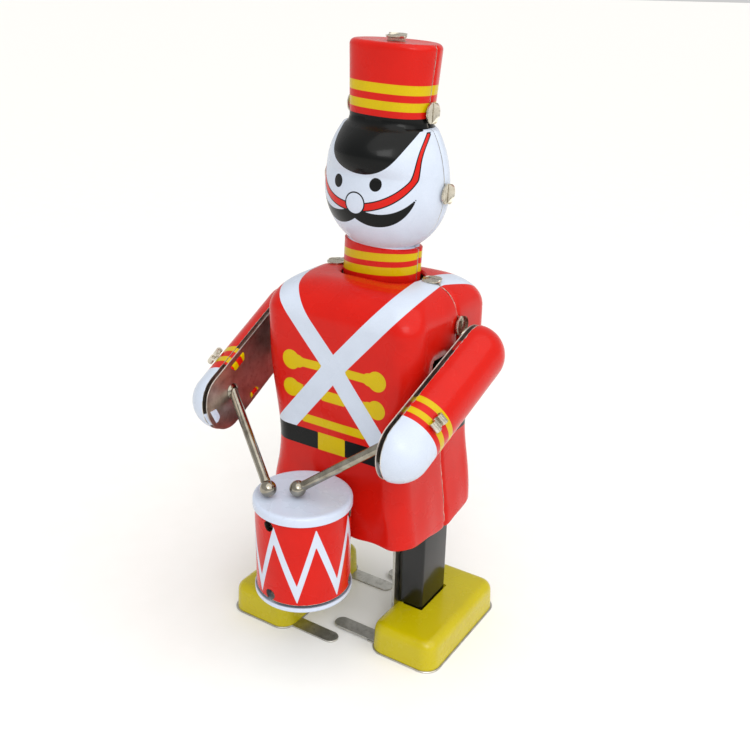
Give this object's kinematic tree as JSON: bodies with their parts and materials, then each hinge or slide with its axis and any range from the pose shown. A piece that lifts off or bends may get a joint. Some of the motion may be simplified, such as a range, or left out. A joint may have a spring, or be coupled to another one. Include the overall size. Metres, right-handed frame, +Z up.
{
  "type": "wind-up tin drummer figure",
  "caption": "Tin clockwork toy figure in a tall hat that slides its feet and swings two drumsticks on a small drum; wound by a key in the back.",
  "frame": {"origin": "on the surface it stands on, below the middle of its bounding box", "axes": "+Z up, -Y the way the figure faces, +X to the figure's left"},
  "size_m": [0.0859, 0.0984, 0.1851],
  "materials": {
    "coat_litho": "gloss",
    "head_litho": "gloss",
    "drum_litho": "gloss",
    "white_enamel": "gloss",
    "sleeve_litho": "gloss",
    "yellow_enamel": "gloss",
    "black_enamel": "gloss",
    "nickel_plate": "polished",
    "bare_tinplate": "satin",
    "gear_brass": "satin",
    "blued_spring": "satin",
    "clinch_tin": "satin",
    "mild_steel": "satin"
  },
  "bodies": {
    "body": {"body_front_shell": "coat_litho", "body_back_shell": "coat_litho", "side_strap": "clinch_tin", "shoulder_clips": "clinch_tin", "head_front_shell": "head_litho", "head_back_shell": "head_litho", "ear_strap": "clinch_tin", "hat_side_strap": "clinch_tin", "hat_top_clip": "clinch_tin", "drum_shell": "drum_litho", "drum_top_lid": "white_enamel", "drum_bottom_lid": "white_enamel", "drum_tie_strap": "clinch_tin", "drum_bracket": "mild_steel", "left_motor_plate": "mild_steel", "right_motor_plate": "mild_steel", "middle_motor_plate": "mild_steel", "rear_motor_plate": "mild_steel", "motor_pillars": "mild_steel", "leg_guide_pins": "mild_steel", "mainspring": "blued_spring", "left_arm_pivot": "mild_steel", "right_arm_pivot": "mild_steel"},
    "winding": {"winding_key": "nickel_plate", "winding_arbor": "mild_steel", "ratchet_wheel": "gear_brass"},
    "great_wheel": {"great_wheel": "gear_brass"},
    "click": {"click_pawl": "mild_steel"},
    "second_shaft": {"second_shaft": "mild_steel", "second_pinion": "gear_brass", "crown_wheel": "gear_brass"},
    "crank": {"crank_axle": "mild_steel", "crank_pinion": "gear_brass", "governor_drive_gear": "gear_brass", "left_crank_disc": "mild_steel", "right_crank_disc": "mild_steel", "left_arm_cam": "mild_steel", "right_arm_cam": "mild_steel"},
    "governor": {"governor_shaft": "mild_steel", "governor_pinion": "gear_brass", "escape_wheel": "gear_brass"},
    "pallet": {"governor_pallet": "gear_brass"},
    "left_leg": {"left_leg_strip": "bare_tinplate", "left_leg_cover": "black_enamel", "left_shoe": "yellow_enamel", "left_sole_plate": "bare_tinplate"},
    "right_leg": {"right_leg_strip": "bare_tinplate", "right_leg_cover": "black_enamel", "right_shoe": "yellow_enamel", "right_sole_plate": "bare_tinplate"},
    "left_arm": {"left_arm_shell": "sleeve_litho", "left_arm_plate": "bare_tinplate", "left_drumstick": "nickel_plate", "left_cuff_clip": "clinch_tin", "left_arm_lever": "mild_steel"},
    "right_arm": {"right_arm_shell": "sleeve_litho", "right_arm_plate": "bare_tinplate", "right_drumstick": "nickel_plate", "right_cuff_clip": "clinch_tin", "right_arm_lever": "mild_steel"}
  },
  "joints": [
    {"name": "winding_turn", "type": "hinge", "parent": "body", "child": "winding", "pos_m": [0.00135, 0.00677, 0.082], "axis": [0, 1, 0], "continuous": true},
    {"name": "great_wheel_turn", "type": "hinge", "parent": "body", "child": "great_wheel", "pos_m": [0.00135, 0.00677, 0.082], "axis": [0, 1, 0], "continuous": true},
    {"name": "click_pivot", "type": "hinge", "parent": "great_wheel", "child": "click", "pos_m": [0.00835, 0.01328, 0.078], "axis": [0, 1, 0], "range_deg": [0, 15]},
    {"name": "second_shaft_turn", "type": "hinge", "parent": "body", "child": "second_shaft", "pos_m": [0.00135, 0.00677, 0.064], "axis": [0, 1, 0], "continuous": true},
    {"name": "crank_turn", "type": "hinge", "parent": "body", "child": "crank", "pos_m": [0.00135, 0.00118, 0.064], "axis": [1, 0, 0], "continuous": true},
    {"name": "governor_turn", "type": "hinge", "parent": "body", "child": "governor", "pos_m": [0.00135, -0.00818, 0.0694], "axis": [1, 0, 0], "continuous": true},
    {"name": "pallet_rock", "type": "hinge", "parent": "body", "child": "pallet", "pos_m": [0.00135, -0.00818, 0.078], "axis": [1, 0, 0], "range_deg": [-7, 7]},
    {"name": "left_leg_stride", "type": "slide", "parent": "body", "child": "left_leg", "axis": [0, -1, 0], "range_m": [0, 0.0077]},
    {"name": "right_leg_stride", "type": "slide", "parent": "body", "child": "right_leg", "axis": [0, -1, 0], "range_m": [-0.0077, 0]},
    {"name": "left_arm_swing", "type": "hinge", "parent": "body", "child": "left_arm", "pos_m": [0.03355, 0.00677, 0.098], "axis": [-1, 0, 0], "range_deg": [0, 15]},
    {"name": "right_arm_swing", "type": "hinge", "parent": "body", "child": "right_arm", "pos_m": [-0.03355, 0.00677, 0.098], "axis": [-1, 0, 0], "range_deg": [0, 15]}
  ],
  "couplings": [
    {"joint": "second_shaft_turn", "follows": "great_wheel_turn", "ratio": -4},
    {"joint": "crank_turn", "follows": "great_wheel_turn", "ratio": 8},
    {"joint": "governor_turn", "follows": "great_wheel_turn", "ratio": -16},
    {"joint": "right_leg_stride", "follows": "left_leg_stride", "ratio": -1}
  ]
}
